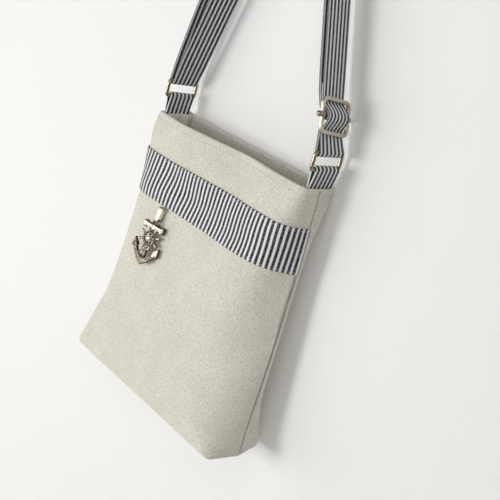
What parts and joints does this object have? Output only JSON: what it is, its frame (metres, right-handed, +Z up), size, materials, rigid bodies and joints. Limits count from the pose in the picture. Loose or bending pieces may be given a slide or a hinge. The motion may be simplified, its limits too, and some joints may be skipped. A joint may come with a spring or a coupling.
{
  "type": "crossbody bag with an anchor charm",
  "caption": "Hanging cloth crossbody bag with an open mouth, a striped front band, a doubled adjustable strap on metal rings, and an anchor charm on the front.",
  "frame": {"origin": "where the bag hangs: the underside of the strap's inner layer at the top of its loop", "axes": "+Z up, +X to the right of someone facing the bag, and the front faces -Y"},
  "size_m": [0.1902, 0.0561, 0.4649],
  "materials": {
    "canvas": "matte",
    "stripe": "matte",
    "nickel": "polished",
    "antique": "satin",
    "thread": "matte"
  },
  "bodies": {
    "bag": {"body_shell": "canvas", "top_facing": "canvas", "striped_band": "stripe", "tab_left": "stripe", "tab_right": "stripe", "ring_left": "nickel", "ring_right": "nickel", "strap": "stripe", "slider_frame": "nickel", "slider_bar": "nickel", "charm_stitch": "thread"},
    "bail": {"bail": "nickel"},
    "anchor": {"anchor": "antique"}
  },
  "joints": [
    {"name": "charm_lift", "type": "hinge", "parent": "bag", "child": "bail", "pos_m": [-0.0378, -0.0269, -0.31741], "axis": [-1, 0, 0], "range_deg": [0, 110]},
    {"name": "anchor_swing", "type": "hinge", "parent": "bail", "child": "anchor", "pos_m": [-0.0378, -0.02915, -0.32879], "axis": [0, -0.9965, 0.0833], "range_deg": [-25, 25]}
  ]
}
